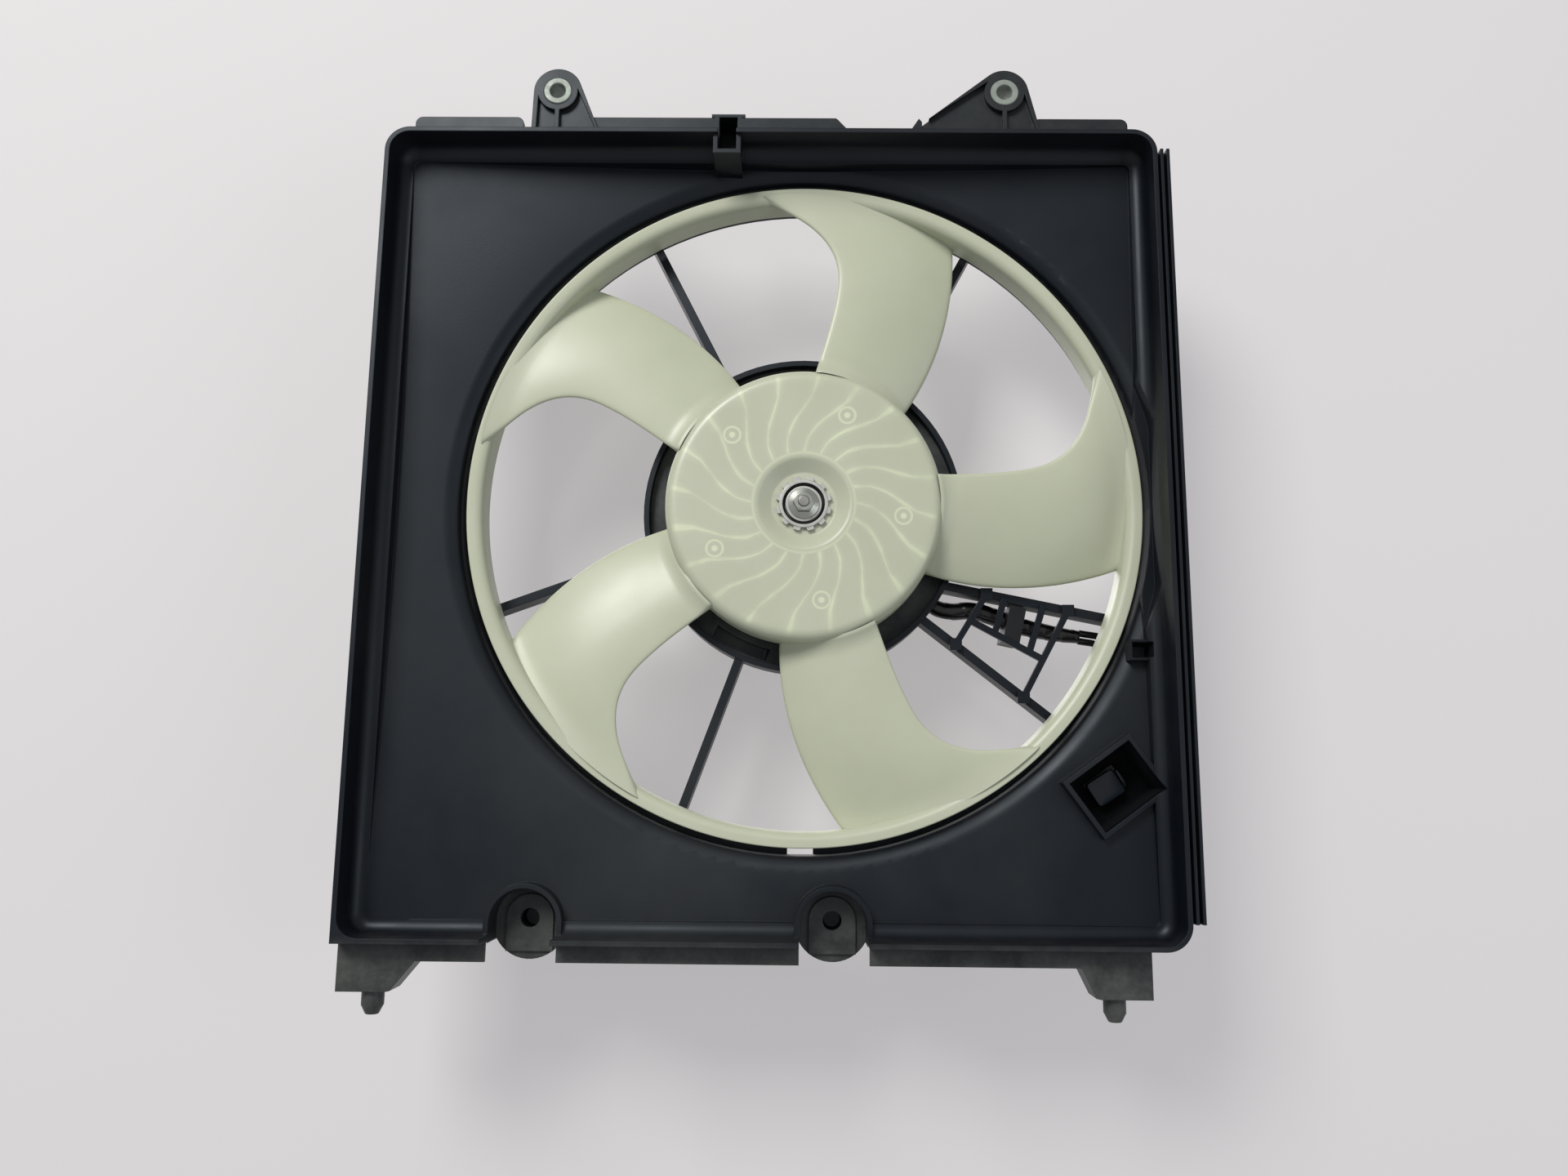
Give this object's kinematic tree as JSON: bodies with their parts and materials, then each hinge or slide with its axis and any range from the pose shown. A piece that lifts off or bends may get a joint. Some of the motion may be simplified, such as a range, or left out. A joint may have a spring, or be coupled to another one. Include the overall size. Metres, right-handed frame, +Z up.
{
  "type": "radiator fan shroud",
  "caption": "Square moulded tray with a round barrel, a swept-blade ring fan on a brushed motor held by struts, upper fixing tabs and lower locating pins.",
  "frame": {"origin": "where the fan's axis crosses the plane of the tray's rim, which rests against the radiator", "axes": "+X to the right seen from the radiator side, +Y from the radiator to the engine, along the fan's axis, +Z up"},
  "size_m": [0.4221, 0.118, 0.5027],
  "materials": {
    "shroud_plastic": "satin near-black moulded plastic, dusty on its flanges",
    "fan_plastic": "pale cream plastic with a faint green cast, slightly translucent, satin",
    "zinc": "zinc plated, satin",
    "bright_steel": "machined bright steel",
    "dark_steel": "black painted pressed steel",
    "plate_steel": "pressed steel, plain",
    "lamination": "stacked laminations",
    "copper": "enamelled copper",
    "ferrite": "dark sintered magnet",
    "card_plastic": "brown moulded plastic",
    "carbon": "carbon",
    "rubber": "black rubber",
    "tape": "black tape, glossy",
    "wire_black": "black insulation",
    "guard_plastic": "near-black plastic",
    "connector_plastic": "dark grey plastic",
    "lock_plastic": "dull blue plastic"
  },
  "bodies": {
    "frame": {"shroud": "shroud_plastic", "tab_bushings": "zinc", "motor_plate": "plate_steel", "motor_can": "dark_steel", "front_bearing": "bright_steel", "rear_bearing": "bright_steel", "magnets": "ferrite", "brush_card": "card_plastic", "brushes": "carbon", "motor_screws": "zinc", "grommet": "rubber", "motor_lead": "tape", "lead_wires": "wire_black", "lead_clip": "guard_plastic", "lead_guard": "guard_plastic", "connector_body": "connector_plastic", "connector_lock": "lock_plastic", "connector_terminals": "bright_steel"},
    "rotor": {"fan": "fan_plastic", "hub_insert": "bright_steel", "flange_nut": "zinc", "hub_washer": "zinc", "motor_shaft": "bright_steel", "armature_core": "lamination", "armature_winding": "copper", "commutator": "copper"}
  },
  "joints": [
    {"name": "fan_spin", "type": "hinge", "parent": "frame", "child": "rotor", "pos_m": [0, 0.05, 0], "axis": [0, 1, 0], "continuous": true}
  ]
}
